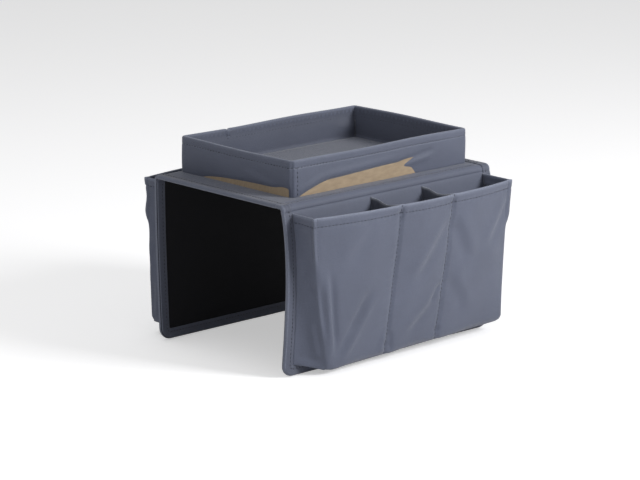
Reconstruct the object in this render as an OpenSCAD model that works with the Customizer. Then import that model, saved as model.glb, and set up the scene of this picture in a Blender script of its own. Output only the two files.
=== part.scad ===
// Sofa arm tray: a padded saddle that lies over a sofa arm, with two stiffened
// flaps that hang down its sides, a low tray sewn on top and a bag of three
// pockets on each flap. X runs along the sofa arm, Y across it and Z up.
// The origin is the middle of the saddle's underside, which rests on the arm.
// The near flap faces -Y.

/* [Saddle] */
// Length of the saddle and flaps along the sofa arm
arm_len = 320; // [300:1:360]
// Width over the outer faces of the two flaps
arm_width = 216; // [210:1:250]
// Height of the saddle's top above the feet of the flaps
drop = 192; // [170:1:230]

/* [Cloth, board and tape] */
// Thickness of one layer of woven cloth
cloth_t = 0.8; // [0.6:0.05:1]
// Thickness of the stiffening board between cover and lining
board_t = 2.4; // [2:0.1:2.8]
// Thickness of the binding tape
tape_t = 0.6; // [0.4:0.05:0.7]
// Width of the binding tape on each face that it wraps
tape_w = 12; // [9:0.5:14]
// Room that a seam leaves between two cloths
seam_gap = 0.2; // [0.15:0.05:0.3]

/* [Folds and hinges] */
// Radius of the near fold, where the near flap turns down
near_fold_r = 6; // [5.3:0.1:6.4]
// Radius of the far fold, where the far flap turns down
far_fold_r = 5; // [5:0.1:5.2]
// Distance from the near flap's outer face to the saddle's boarded edge
near_setback = 12; // [8:0.5:16]
// Distance from the far flap's outer face to the saddle's boarded edge
far_setback = 5.3; // [5.2:0.05:5.5]
// Distance from the saddle's top down to the top edge of each flap
fold_drop = 7; // [7:0.1:9]
// Distance from a flap's bound inner face to its hinge axis
hinge_gap = 0.3; // [0.3:0.05:0.5]
// Room between a fold's lower edge and the flap below it
fold_gap = 0.3; // [0.3:0.05:0.5]
// Length over which the saddle's lining steps up to its end tape
press_ramp = 3; // [2:0.5:6]

/* [Tray] */
// Height of the tray's rim above the saddle
tray_height = 41; // [30:1:60]
// Outer radius of the tray's upright corners
tray_corner_r = 6; // [6:0.5:12]
// Distance from the left end tape to the tray's left wall
tray_left_gap = 21.6; // [10:0.2:36]
// Distance from the right end tape to the tray's right wall
tray_right_gap = 2.4; // [1:0.2:20]
// Distance from the near flap's outer face to the tray's near wall
tray_near_margin = 22.5; // [16.5:0.5:40]
// Distance from the far flap's outer face to the tray's far wall
tray_far_margin = 5.5; // [5.5:0.5:12]
// Depth of the cover's hem inside the rim
tray_hem = 13; // [8:0.5:18]
// Room between the floor board and the wall lining
floor_play = 0.3; // [0.2:0.05:0.5]

/* [Flaps] */
// How far the near flap bows outward
near_bow = 7.5; // [0:0.5:10]
// How far the far flap bows outward
far_bow = 1.5; // [0:0.5:6]
// How far the far flap's foot leans in under the saddle
far_lean = 5.5; // [0:0.5:6]
// Radius of the flaps' lower corners
flap_corner_r = 14; // [13:0.5:24]

/* [Pockets] */
// Distance from the saddle's top down to the pockets' rims
mouth_drop = 9.5; // [9.3:0.1:14]
// Depth of the turned hem at each pocket's rim
pocket_hem = 14; // [10:0.5:18]
// Height of each pocket's seam on its flap above the tape
seam_rise = 0.4; // [0.3:0.1:3]
// How far the foot seam's ends come in from the gussets' roots
seam_inset = 9; // [4:0.5:14]
// Height of a gusset's foot above the seam at its root
root_rise = 3; // [1:0.5:6]
// Distance from a flap's top edge down to a divider's back corner
divider_drop = 1; // [0.5:0.1:2]

/* [Near bag] */
// Depth of the near bag's mouth at its left gusset
near_left_depth = 36; // [30:1:44]
// Depth of the near bag's mouth at the middle
near_middle_depth = 54; // [44:1:62]
// Depth of the near bag's mouth at its right gusset
near_right_depth = 45; // [34:1:54]
// Depth of the near bag at its foot
near_foot_depth = 25; // [20:1:32]
// Height of the near bag's lower left corner
near_left_foot = 3; // [2:0.5:10]
// Height of the near bag's lower right corner
near_right_foot = 12; // [4:0.5:16]
// How far the left gusset leans towards +X at the foot
near_left_lean = 34; // [10:1:44]
// How far the right gusset leans towards +X at the foot
near_right_lean = 10; // [0:0.5:10]
// Place of the left divider along the arm
near_divider_left_x = -30; // [-60:1:-15]
// Place of the right divider along the arm
near_divider_right_x = 49; // [20:1:80]
// Swell of the near bag's cloth between two seams
near_puff = 3; // [0:0.5:5]
// Depth of the slanting folds in the near bag
near_crease = 1.6; // [0:0.2:2.4]

/* [Far bag] */
// Depth of the far bag's mouth at each gusset
far_side_depth = 30; // [18:0.5:32]
// Depth of the far bag's mouth at the middle
far_middle_depth = 42; // [20:0.5:44]
// Depth of the far bag at its foot
far_foot_depth = 28; // [20:0.5:30]
// Height of the far bag's lower edge
far_foot = 14; // [10:0.5:20]
// Depth of the waves in the far bag's gussets
far_wave = 1.9; // [0:0.1:2.4]
// Place of each far divider from the middle
far_divider_x = 49; // [30:1:70]
// How far each far gusset leans towards the middle at the foot
far_gusset_lean = 3; // [0:0.5:10]
// Swell of the far bag's cloth between two seams
far_puff = 1; // [0:0.5:3]

/* [Hidden] */
$fn = 48;

// Cover, board and lining pressed together
panel_t = 2 * cloth_t + board_t;
// From a panel's outer face to the hinge axis at its inner corner
hinge_k = panel_t + tape_t + hinge_gap;
half_len = arm_len / 2;
half_width = arm_width / 2;
// From the middle to the inner end of an end tape
tape_in = half_len - tape_w;
saddle_top = panel_t;
foot_z = saddle_top - drop;
flap_top = saddle_top - fold_drop;
flap_len = flap_top - foot_z;
rim_z = saddle_top - mouth_drop;
// The bags are sewn on beside the tape
root_x = tape_in - seam_gap;
seam_z = foot_z + tape_w + seam_rise;

// The tray's rim is a round bead over board, lining and hem
rim_r = (3 * cloth_t + board_t) / 2;
tray_left = -tape_in + tray_left_gap;
tray_right = tape_in - tray_right_gap;
tray_near = -half_width + tray_near_margin;
tray_far = half_width - tray_far_margin;
tray_len = tray_right - tray_left;
tray_width = tray_far - tray_near;
tray_middle = [(tray_left + tray_right) / 2, (tray_near + tray_far) / 2, saddle_top];
board_in = cloth_t;
lining_in = cloth_t + board_t;
wall_in = lining_in + cloth_t;

// Segments down a flap's curved section
bow_steps = 14;
// The bow peaks above the middle: this power sets where
bow_power = 0.75;

cover_colour = [0.27, 0.29, 0.35];
lining_colour = [0.13, 0.14, 0.18];
board_colour = [0.62, 0.52, 0.40];
tape_colour = [0.22, 0.24, 0.30];

// A flap's curve is [bow, lean]. This is its outward offset at height z.
near_curve = [near_bow, 0];
far_curve = [far_bow, -far_lean];
function curve_at(curve, z) =
    let (t = min(max((flap_top - z) / flap_len, 0), 1))
    curve[0] * sin(180 * pow(t, bow_power)) + curve[1] * t;

// Layers of a panel, as offsets from its outer face, outward positive
function cover_layer() = [0, -cloth_t];
function board_layer() = [-cloth_t, -cloth_t - board_t];
function lining_layer() = [-cloth_t - board_t, -panel_t];
function panel_layer() = [0, -panel_t];
function taped_layer() = [tape_t, -panel_t - tape_t];
function outer_tape_layer() = [tape_t, 0];
function inner_tape_layer() = [-panel_t, -panel_t - tape_t];

// Drawn on the near side and mirrored for the far side
module on_side(side)
{
    if (side == "far")
        mirror([0, 1, 0]) children();
    else
        children();
}

// Extrudes a (Y, Z) outline along the arm from x0 to x1
module along_arm(x0, x1)
{
    translate([x0, 0, 0])
        rotate([90, 0, 90])
            linear_extrude(x1 - x0) children();
}

module plate(x0, x1, y0, y1, z0, z1)
{
    translate([x0, y0, z0]) cube([x1 - x0, y1 - y0, z1 - z0]);
}

// Saddle

near_edge = -half_width + near_setback;
far_edge = half_width - far_setback;
cloth_end = half_len - tape_t;

// Places along the arm, each with the share by which the end tape presses the
// panel's underside up. This keeps the tape flush with the lining below.
presses = [
    [-cloth_end, 1], [-tape_in, 1], [-tape_in + press_ramp, 0],
    [tape_in - press_ramp, 0], [tape_in, 1], [cloth_end, 1]
];

// One layer of the saddle, with the share of the press that each face takes
module saddle_layer(layer, top_share, bottom_share)
{
    last = len(presses) - 1;
    upper = [for (p = presses)
        [p[0], saddle_top + layer[0] + top_share * p[1] * tape_t]];
    lower = [for (i = [last:-1:0])
        [presses[i][0], saddle_top + layer[1] + bottom_share * presses[i][1] * tape_t]];
    translate([0, far_edge, 0])
        rotate([90, 0, 0])
            linear_extrude(far_edge - near_edge)
                polygon(concat(upper, lower));
}

module saddle_cover()
{
    color(cover_colour) saddle_layer(cover_layer(), 0, 0);
}

module saddle_board()
{
    color(board_colour) saddle_layer(board_layer(), 0, 1);
}

module saddle_lining()
{
    color(lining_colour) saddle_layer(lining_layer(), 1, 1);
}

// Tape folded over one end of the saddle
module saddle_end_tape()
{
    color(tape_colour) difference()
    {
        plate(-half_len, -tape_in, near_edge, far_edge,
              saddle_top - panel_t, saddle_top + tape_t);
        plate(-cloth_end, half_len, near_edge - 1, far_edge + 1,
              saddle_top - panel_t + tape_t, saddle_top);
    }
}

module saddle_binding_left()
{
    saddle_end_tape();
}

module saddle_binding_right()
{
    mirror([1, 0, 0]) saddle_end_tape();
}

// Tray

module at_tray()
{
    translate(tray_middle) children();
}

// Sweeps an upright wall section round the tray. In the section, X is the
// distance outward from the tray's outer face and Y is the height.
module round_tray()
{
    run_x = tray_len / 2 - tray_corner_r;
    run_y = tray_width / 2 - tray_corner_r;
    for (s = [-1, 1])
    {
        rotate([0, 0, 90 - 90 * s])
            translate([tray_len / 2, run_y, 0])
                rotate([90, 0, 0])
                    linear_extrude(2 * run_y) children();
        rotate([0, 0, 90 * s])
            translate([tray_width / 2, run_x, 0])
                rotate([90, 0, 0])
                    linear_extrude(2 * run_x) children();
        for (c = [-1, 1])
            translate([s * run_x, c * run_y, 0])
                rotate([0, 0, s > 0 ? (c > 0 ? 0 : 270) : (c > 0 ? 90 : 180)])
                    rotate_extrude(angle = 90)
                        translate([tray_corner_r, 0]) children();
    }
}

// Outer cloth that climbs the wall, rounds the rim and ends in a hem inside
module wall_cover_section()
{
    bead_z = tray_height - rim_r;
    translate([-cloth_t, 0]) square([cloth_t, bead_z]);
    translate([-2 * rim_r, tray_height - tray_hem])
        square([cloth_t, tray_hem - rim_r]);
    translate([-rim_r, bead_z]) difference()
    {
        circle(rim_r);
        circle(rim_r - cloth_t);
        translate([-2 * rim_r, -2 * rim_r]) square([4 * rim_r, 2 * rim_r]);
    }
}

module tray_wall_cover()
{
    color(cover_colour) at_tray() round_tray() wall_cover_section();
}

// Rounded rectangle inset from the tray's outer face
module tray_outline(inset)
{
    r = tray_corner_r - inset;
    run_x = tray_len / 2 - tray_corner_r;
    run_y = tray_width / 2 - tray_corner_r;
    square([2 * (run_x + r), 2 * run_y], center = true);
    square([2 * run_x, 2 * (run_y + r)], center = true);
    for (s = [-1, 1], c = [-1, 1])
        translate([s * run_x, c * run_y]) circle(r);
}

module tray_lining()
{
    color(lining_colour) at_tray() difference()
    {
        linear_extrude(tray_height - rim_r) tray_outline(lining_in);
        translate([0, 0, board_t + cloth_t])
            linear_extrude(tray_height) tray_outline(wall_in);
        translate([0, 0, -1])
            linear_extrude(board_t + 1) tray_outline(wall_in);
    }
}

module tray_floor_board()
{
    color(board_colour) at_tray()
        linear_extrude(board_t) tray_outline(wall_in + floor_play);
}

// One upright board inside a wall, between two corners
module wall_board(length, face)
{
    color(board_colour)
        translate([-length / 2, face - lining_in, 0])
            cube([length, board_t, tray_height - rim_r]);
}

tray_long_board = tray_len - 2 * tray_corner_r;
tray_short_board = tray_width - 2 * tray_corner_r;

module tray_board_near()
{
    at_tray() rotate([0, 0, 180]) wall_board(tray_long_board, tray_width / 2);
}

module tray_board_far()
{
    at_tray() wall_board(tray_long_board, tray_width / 2);
}

module tray_board_left()
{
    at_tray() rotate([0, 0, 90]) wall_board(tray_short_board, tray_len / 2);
}

module tray_board_right()
{
    at_tray() rotate([0, 0, -90]) wall_board(tray_short_board, tray_len / 2);
}

// Folds between the saddle and the flaps

// Everything inside the fold's surface, moved outward by a distance
module fold_corner(out, r)
{
    cy = -half_width + r;
    cz = saddle_top - r;
    reach = 60;
    translate([cy, cz]) circle(r + out);
    translate([cy, cz - reach]) square([reach, reach + r + out]);
    translate([cy - r - out, cz - reach]) square([r + out + 1, reach]);
}

// One cloth or tape layer of the fold, from the saddle's edge to the flap's
module fold_band(layer, r, setback)
{
    reach = 20;
    intersection()
    {
        difference()
        {
            fold_corner(layer[0], r);
            fold_corner(layer[1], r);
        }
        translate([-half_width - reach, flap_top + fold_gap])
            square([reach + setback, fold_drop + reach]);
    }
}

module fold_strip(layer, r, setback)
{
    along_arm(-cloth_end, cloth_end) fold_band(layer, r, setback);
}

// Tape folded over one end of a fold
module fold_tape(r, setback)
{
    color(tape_colour)
    {
        along_arm(-half_len, -tape_in)
            fold_band(outer_tape_layer(), r, setback);
        along_arm(-half_len, -tape_in)
            fold_band(inner_tape_layer(), r, setback);
        along_arm(-half_len, -cloth_end)
            fold_band(taped_layer(), r, setback);
    }
}

module near_fold_cover()
{
    color(cover_colour) fold_strip(cover_layer(), near_fold_r, near_setback);
}

module near_fold_lining()
{
    color(lining_colour) fold_strip(lining_layer(), near_fold_r, near_setback);
}

module near_fold_tape_left()
{
    fold_tape(near_fold_r, near_setback);
}

module near_fold_tape_right()
{
    mirror([1, 0, 0]) fold_tape(near_fold_r, near_setback);
}

module far_fold_cover()
{
    color(cover_colour) on_side("far")
        fold_strip(cover_layer(), far_fold_r, far_setback);
}

module far_fold_lining()
{
    color(lining_colour) on_side("far")
        fold_strip(lining_layer(), far_fold_r, far_setback);
}

module far_fold_tape_left()
{
    on_side("far") fold_tape(far_fold_r, far_setback);
}

module far_fold_tape_right()
{
    on_side("far") mirror([1, 0, 0]) fold_tape(far_fold_r, far_setback);
}

// Flaps

// Section of one layer of a curved flap
module curved_section(curve, layer)
{
    levels = [for (i = [0:bow_steps]) flap_top - flap_len * i / bow_steps];
    outer = [for (z = levels) [-half_width - curve_at(curve, z) - layer[0], z]];
    inner = [for (i = [bow_steps:-1:0])
        [-half_width - curve_at(curve, levels[i]) - layer[1], levels[i]]];
    polygon(concat(outer, inner));
}

// Front view of a flap with round lower corners, inset on three sides
module flap_outline(inset)
{
    r = flap_corner_r - inset;
    run_x = half_len - flap_corner_r;
    translate([-run_x - r, flap_corner_r])
        square([2 * (run_x + r), drop]);
    translate([-run_x, inset]) square([2 * run_x, flap_corner_r]);
    for (s = [-1, 1])
        translate([s * run_x, flap_corner_r]) circle(r);
}

module flap_block(inset)
{
    reach = 30;
    translate([0, -half_width + reach, foot_z])
        rotate([90, 0, 0])
            linear_extrude(2 * reach) flap_outline(inset);
}

module flap_layer(curve, layer, inset)
{
    intersection()
    {
        along_arm(-half_len, half_len) curved_section(curve, layer);
        flap_block(inset);
    }
}

// Tape round a flap's two upright edges and its foot
module flap_tape(curve)
{
    color(tape_colour) difference()
    {
        flap_layer(curve, taped_layer(), 0);
        flap_layer(curve, panel_layer(), tape_t);
        flap_block(tape_w);
    }
}

module near_flap_cover()
{
    color(cover_colour) flap_layer(near_curve, cover_layer(), tape_t);
}

module near_flap_board()
{
    color(board_colour) flap_layer(near_curve, board_layer(), tape_t);
}

module near_flap_lining()
{
    color(lining_colour) flap_layer(near_curve, lining_layer(), tape_t);
}

module near_flap_binding()
{
    flap_tape(near_curve);
}

module far_flap_cover()
{
    color(cover_colour) on_side("far") flap_layer(far_curve, cover_layer(), tape_t);
}

module far_flap_board()
{
    color(board_colour) on_side("far") flap_layer(far_curve, board_layer(), tape_t);
}

module far_flap_lining()
{
    color(lining_colour) on_side("far") flap_layer(far_curve, lining_layer(), tape_t);
}

module far_flap_binding()
{
    on_side("far") flap_tape(far_curve);
}

// Bags of three pockets. A place on a bag is (p, v): p runs from the left
// root at -1 to the left corner at 0, the dividers at 1 and 2, the right
// corner at 3 and the right root at 4. v runs from the rim at 0 to the foot
// at 1 and on to the seam on the flap at 2.

// A bag's sizes in one list, read by the functions below
LEFT_DEPTH = 0;
MIDDLE_DEPTH = 1;
RIGHT_DEPTH = 2;
FOOT_DEPTH = 3;
LEFT_FOOT = 4;
RIGHT_FOOT = 5;
LEFT_LEAN = 6;
RIGHT_LEAN = 7;
DIVIDER_1 = 8;
DIVIDER_2 = 9;
PUFF = 10;
CREASE = 11;
WAVE = 12;
CURVE = 13;
near_bag = [
    near_left_depth, near_middle_depth, near_right_depth, near_foot_depth,
    near_left_foot, near_right_foot, near_left_lean, near_right_lean,
    near_divider_left_x, near_divider_right_x, near_puff, near_crease, 0, near_curve
];
far_bag = [
    far_side_depth, far_middle_depth, far_side_depth, far_foot_depth,
    far_foot, far_foot, far_gusset_lean, -far_gusset_lean,
    -far_divider_x, far_divider_x, far_puff, 0, far_wave, far_curve
];

gusset_steps = 4;
pocket_steps = 8;
drop_steps = 9;
seam_steps = 3;
// Waves down a slack gusset
wave_count = 4;
// Share of the bag's height taken by the hem, and by the step below it
hem_v = pocket_hem / (rim_z - seam_z);
hem_step = 0.012;

places = concat(
    [for (i = [0:gusset_steps - 1]) -1 + i / gusset_steps],
    [for (i = [0:3 * pocket_steps]) i / pocket_steps],
    [for (i = [1:gusset_steps]) 3 + i / gusset_steps]
);
levels = concat(
    [0, hem_v, hem_v + hem_step],
    [for (i = [1:drop_steps]) hem_v + hem_step + (1 - hem_v - hem_step) * i / drop_steps],
    [for (i = [1:seam_steps]) 1 + i / seam_steps]
);

function mix(a, b, t) = a + (b - a) * t;
function fraction(p) = p - floor(p);

// Depth of the mouth at x, a smooth curve through its three depths
function mouth_depth(bag, x) =
    let (t = x / root_x,
         tilt = (bag[RIGHT_DEPTH] - bag[LEFT_DEPTH]) / 2,
         arch = (bag[RIGHT_DEPTH] + bag[LEFT_DEPTH]) / 2 - bag[MIDDLE_DEPTH])
    bag[MIDDLE_DEPTH] + tilt * t + arch * t * t;

// Waves that fade towards the foot, for a gusset that hangs slack
function wave_at(bag, v) =
    bag[WAVE] * (cos(360 * wave_count * v) - 1) * max(1 - 1.4 * v, 0);

function bag_depth(bag, x, v) = mix(mouth_depth(bag, x), bag[FOOT_DEPTH], v);

function left_corner_x(bag, v) = -root_x + bag[LEFT_LEAN] * pow(v, 1.6);
function right_corner_x(bag, v) = root_x + bag[RIGHT_LEAN] * pow(v, 1.6);

// X of a place on the bag's front
function front_x(bag, p, v) =
    p <= 1 ? mix(left_corner_x(bag, v), bag[DIVIDER_1], p)
    : p <= 2 ? mix(bag[DIVIDER_1], bag[DIVIDER_2], p - 1)
    : mix(bag[DIVIDER_2], right_corner_x(bag, v), p - 2);

// Swell between the seams, with one slanting fold in each pocket
function swell(bag, p, v) =
    let (f = fraction(p),
         slant = f - 0.75 + 0.5 * v)
    sin(180 * f) * (bag[PUFF] * sin(180 * pow(v, 0.8))
        + bag[PUFF] * 0.35 * (1 - v)
        - bag[CREASE] * exp(-pow(slant / 0.16, 2)) * sin(180 * v));

function foot_z(bag, x) =
    foot_z + mix(bag[LEFT_FOOT], bag[RIGHT_FOOT], (x + root_x) / (2 * root_x));

// Depth of the root line, just clear of the flap's cover
function root_depth(bag, z) = curve_at(bag[CURVE], z) + seam_gap;

// A point of the front at (p, v <= 1), as [x, depth, z]
function front_point(bag, p, v) =
    let (x = front_x(bag, p, v))
    [x, bag_depth(bag, x, v) + swell(bag, p, v) + (p == 0 || p == 3 ? wave_at(bag, v) : 0),
     mix(rim_z, foot_z(bag, x), v)];

// A point of a gusset: s runs from the root at 0 to the corner at 1
function gusset_point(bag, side, s, v) =
    let (corner = front_point(bag, side < 0 ? 0 : 3, v),
         z0 = mix(rim_z, seam_z + root_rise, v))
    [mix(side * root_x, corner[0], s),
     mix(root_depth(bag, z0), corner[1], s),
     mix(z0, corner[2], s)];

function wall_point(bag, p, v) =
    p < 0 ? gusset_point(bag, -1, p + 1, v)
    : p > 3 ? gusset_point(bag, 1, 4 - p, v)
    : front_point(bag, p, v);

// X where a column of the bag meets the seam on the flap
function seam_x(bag, p) =
    p <= 0 ? -root_x + seam_inset * (p + 1)
    : p <= 1 ? mix(-root_x + seam_inset, bag[DIVIDER_1], p)
    : p <= 2 ? mix(bag[DIVIDER_1], bag[DIVIDER_2], p - 1)
    : p <= 3 ? mix(bag[DIVIDER_2], root_x - seam_inset, p - 2)
    : root_x - seam_inset * (4 - p);

// Outer surface: down the wall, then in along the bottom to the seam
function outer_point(bag, p, v) =
    v <= 1 ? wall_point(bag, p, v)
    : mix(wall_point(bag, p, 1), [seam_x(bag, p), root_depth(bag, seam_z), seam_z], v - 1);

// Inner surface: the outer one moved in by the cloth, or twice that at the hem
function inner_point(bag, p, v) =
    let (t = v <= hem_v ? 2 * cloth_t : cloth_t,
         o = outer_point(bag, p, v),
         side = p <= 0 ? 1 : p >= 3 ? -1 : 0,
         front = p < 0 ? p + 1 : p > 3 ? 4 - p : 1,
         under = v < 1 ? 0 : 1)
    [o[0] + side * t, o[1] - t * front * (v > 1 ? 2 - v : 1), o[2] + under * cloth_t];

function placed(point) = [point[0], -half_width - point[1], point[2]];

// One closed bag of cloth from its outer and inner grids
module cloth_bag(bag)
{
    cols = len(places);
    rows = len(levels);
    sheet = cols * rows;
    outer = [for (v = levels, p = places) placed(outer_point(bag, p, v))];
    inner = [for (v = levels, p = places) placed(inner_point(bag, p, v))];
    last = (rows - 1) * cols;
    function quad(a, b, c, d) = [[a, b, c], [a, c, d]];
    faces = [
        for (j = [0:rows - 2], i = [0:cols - 2])
            let (k = j * cols + i)
            each concat(
                quad(k, k + 1, k + cols + 1, k + cols),
                quad(sheet + k, sheet + k + cols, sheet + k + cols + 1, sheet + k + 1)),
        for (i = [0:cols - 2])
            each concat(
                quad(sheet + i, sheet + i + 1, i + 1, i),
                quad(last + i, last + i + 1, sheet + last + i + 1, sheet + last + i)),
        for (j = [0:rows - 2])
            let (k = j * cols, r = k + cols - 1)
            each concat(
                quad(k, k + cols, sheet + k + cols, sheet + k),
                quad(r + cols, r, sheet + r, sheet + r + cols))
    ];
    polyhedron(concat(outer, inner), faces, convexity = 8);
}

// A divider: a flat cloth from the flap to the bag's inner face
module divider(bag, p)
{
    x = front_x(bag, p, 0);
    foot_v = 0.9;
    steps = 8;
    downs = concat([0, hem_v, hem_v + hem_step],
        [for (i = [1:steps]) mix(hem_v + hem_step, foot_v, i / steps)]);
    front = [for (v = downs)
        let (q = placed(inner_point(bag, p, v)))
        [q[1] + seam_gap, q[2]]];
    back_z = front[len(front) - 1][1];
    back = [for (i = [0:steps])
        let (z = mix(back_z, flap_top - divider_drop, i / steps))
        [-half_width - curve_at(bag[CURVE], z) - seam_gap, z]];
    along_arm(x - cloth_t / 2, x + cloth_t / 2)
        polygon(concat(front, back));
}

module near_pocket()
{
    color(cover_colour) cloth_bag(near_bag);
}

module near_divider_left()
{
    color(lining_colour) divider(near_bag, 1);
}

module near_divider_right()
{
    color(lining_colour) divider(near_bag, 2);
}

module far_pocket()
{
    color(cover_colour) on_side("far") cloth_bag(far_bag);
}

module far_divider_left()
{
    color(lining_colour) on_side("far") divider(far_bag, 1);
}

module far_divider_right()
{
    color(lining_colour) on_side("far") divider(far_bag, 2);
}

saddle_cover();
saddle_board();
saddle_lining();
saddle_binding_left();
saddle_binding_right();
tray_wall_cover();
tray_lining();
tray_floor_board();
tray_board_near();
tray_board_far();
tray_board_left();
tray_board_right();
near_fold_cover();
near_fold_lining();
near_fold_tape_left();
near_fold_tape_right();
far_fold_cover();
far_fold_lining();
far_fold_tape_left();
far_fold_tape_right();
near_flap_cover();
near_flap_board();
near_flap_lining();
near_flap_binding();
near_pocket();
near_divider_left();
near_divider_right();
far_flap_cover();
far_flap_board();
far_flap_lining();
far_flap_binding();
far_pocket();
far_divider_left();
far_divider_right();
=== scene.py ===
# %% [markdown]
# # A sofa arm tray in cloth and board
# A stiff saddle lies over a sofa arm. A low tray is sewn on top, and a flap with a bag of pockets hangs
# down each side. The exact boards come with the frame. This lesson dresses them in cloth, tape and thread.
# Each cloth is a grid of points on its outer face, moved by formulas and then given its thickness, so
# every fold, hem and seam stays a few numbers that can be changed.

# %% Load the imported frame
import math
import bpy
import numpy as np
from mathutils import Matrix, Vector


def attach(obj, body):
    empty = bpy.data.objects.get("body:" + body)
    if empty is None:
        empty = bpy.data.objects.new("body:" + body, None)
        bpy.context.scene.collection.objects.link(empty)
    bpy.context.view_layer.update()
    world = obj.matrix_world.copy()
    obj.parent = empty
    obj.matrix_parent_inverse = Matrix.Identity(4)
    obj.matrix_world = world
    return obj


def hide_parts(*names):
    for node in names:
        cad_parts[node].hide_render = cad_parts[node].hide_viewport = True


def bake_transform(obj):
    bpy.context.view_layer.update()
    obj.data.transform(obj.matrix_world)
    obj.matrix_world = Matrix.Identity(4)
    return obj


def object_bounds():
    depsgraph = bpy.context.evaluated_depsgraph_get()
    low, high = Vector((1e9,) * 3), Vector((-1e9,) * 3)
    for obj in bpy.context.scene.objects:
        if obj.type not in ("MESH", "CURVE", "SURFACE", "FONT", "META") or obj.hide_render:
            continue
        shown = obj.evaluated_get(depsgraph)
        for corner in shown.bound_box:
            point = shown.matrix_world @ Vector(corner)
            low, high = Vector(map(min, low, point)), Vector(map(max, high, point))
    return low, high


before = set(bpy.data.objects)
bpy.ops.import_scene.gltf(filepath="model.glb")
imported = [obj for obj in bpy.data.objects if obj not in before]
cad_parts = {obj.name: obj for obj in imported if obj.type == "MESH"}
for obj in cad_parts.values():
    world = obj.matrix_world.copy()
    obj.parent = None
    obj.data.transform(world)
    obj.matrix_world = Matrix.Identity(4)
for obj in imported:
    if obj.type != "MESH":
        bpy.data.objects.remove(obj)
cad_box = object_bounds()

# %% [markdown]
# ## Camera, light and floor
# The camera stands where the photographer stood: left of the near flap, a little above the tray, far away
# with a long lens. One broad lamp from the front right models the folds, and weak light fills the rest.
# The background is white to the camera, or through something clear, and weak to every other ray, so its
# white adds no light to the cloth.

# %% Camera
MM = 0.001
LENS_MM = 168.75
SENSOR_MM = 36
VIEW_LIMIT = 50
CAMERA_PLACE = (-2.26415, -2.44096, 0.73853)
AZIMUTH = math.radians(-42.78)
ELEVATION = math.radians(13.79)


def new_object(name, data):
    """An object in the scene that shows this data."""
    made = bpy.data.objects.new(name, data)
    bpy.context.scene.collection.objects.link(made)
    return made


looking = Vector((-math.sin(AZIMUTH) * math.cos(ELEVATION),
                  math.cos(AZIMUTH) * math.cos(ELEVATION), -math.sin(ELEVATION)))
camera_data = bpy.data.cameras.new("photo_camera")
camera_data.lens = LENS_MM
camera_data.sensor_width = SENSOR_MM
camera_data.clip_end = VIEW_LIMIT
camera = new_object("photo_camera", camera_data)
camera.location = CAMERA_PLACE
camera.rotation_euler = looking.to_track_quat("-Z", "Y").to_euler()
bpy.context.scene.camera = camera
bpy.context.scene.view_settings.view_transform = "Standard"
print("camera at", CAMERA_PLACE)

# %% Lamps
LAMP_TARGET = Vector((0, 0, -0.06))


def area_lamp(name, place, size, power):
    """A square lamp turned to the object, with its size in metres and its power in watts."""
    data = bpy.data.lights.new(name, "AREA")
    data.shape = "SQUARE"
    data.size = size
    data.energy = power
    lamp = new_object(name, data)
    lamp.location = place
    lamp.rotation_euler = (LAMP_TARGET - lamp.location).to_track_quat("-Z", "Y").to_euler()


area_lamp("key", (0.75, -1.75, 0.95), 0.7, 38)
area_lamp("top", (-0.3, 0.3, 1.9), 1.2, 9)
area_lamp("left_fill", (-1.9, -0.7, 0.5), 1.2, 6)
print("lamps:", [lamp.name for lamp in bpy.data.lights])

# %% World: weak light for the object, white for the camera
AMBIENT = 0.28
WHITE = (1, 1, 1, 1)


def wire(tree, *joins):
    """Links nodes, each join given as node, output, node and input."""
    for source, output, target, entry in joins:
        tree.links.new(source.outputs[output], target.inputs[entry])


world = bpy.data.worlds.new("studio")
bpy.context.scene.world = world
world.use_nodes = True
nodes = world.node_tree.nodes
nodes.clear()
path = nodes.new("ShaderNodeLightPath")
seen = nodes.new("ShaderNodeMath")
seen.operation = "MAXIMUM"
ambient = nodes.new("ShaderNodeBackground")
ambient.inputs["Strength"].default_value = AMBIENT
white = nodes.new("ShaderNodeBackground")
pick = nodes.new("ShaderNodeMixShader")
world_out = nodes.new("ShaderNodeOutputWorld")
for shader in (ambient, white):
    shader.inputs["Color"].default_value = WHITE
wire(world.node_tree, (path, "Is Camera Ray", seen, 0), (path, "Is Transmission Ray", seen, 1),
     (seen, 0, pick, 0), (ambient, 0, pick, 1), (white, 0, pick, 2), (pick, 0, world_out, "Surface"))
print("ambient light:", AMBIENT)

# %% Floor of white paper
FLOOR_GAP = 0.0008
FLOOR_HALF = 9
PAPER_GLOW = 0.42
PAPER_COLOUR = (0.86, 0.86, 0.87, 1)


def new_material(name):
    """A new material, with its node tree and its main shader."""
    material = bpy.data.materials.new(name)
    material.use_nodes = True
    return material, material.node_tree, material.node_tree.nodes["Principled BSDF"]


floor_z = cad_box[0][2] - FLOOR_GAP
floor_corners = [(x * FLOOR_HALF, y * FLOOR_HALF, floor_z) for x, y in ((-1, -1), (1, -1), (1, 1), (-1, 1))]
floor_mesh = bpy.data.meshes.new("floor")
floor_mesh.from_pydata(floor_corners, [], [(0, 1, 2, 3)])
new_object("floor", floor_mesh)
paper, tree, matt = new_material("white_paper")
nodes = tree.nodes
matt.inputs["Base Color"].default_value = PAPER_COLOUR
matt.inputs["Roughness"].default_value = 0.9
matt.inputs["Specular IOR Level"].default_value = 0.0
glow = nodes.new("ShaderNodeEmission")
path = nodes.new("ShaderNodeLightPath")
share = nodes.new("ShaderNodeMath")
share.operation = "MULTIPLY"
share.inputs[1].default_value = PAPER_GLOW
both = nodes.new("ShaderNodeAddShader")
wire(tree, (path, "Is Camera Ray", share, 0), (share, 0, glow, "Strength"), (matt, 0, both, 0),
     (glow, 0, both, 1), (both, 0, nodes["Material Output"], "Surface"))
floor_mesh.materials.append(paper)
print("floor at", floor_z)

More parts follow.
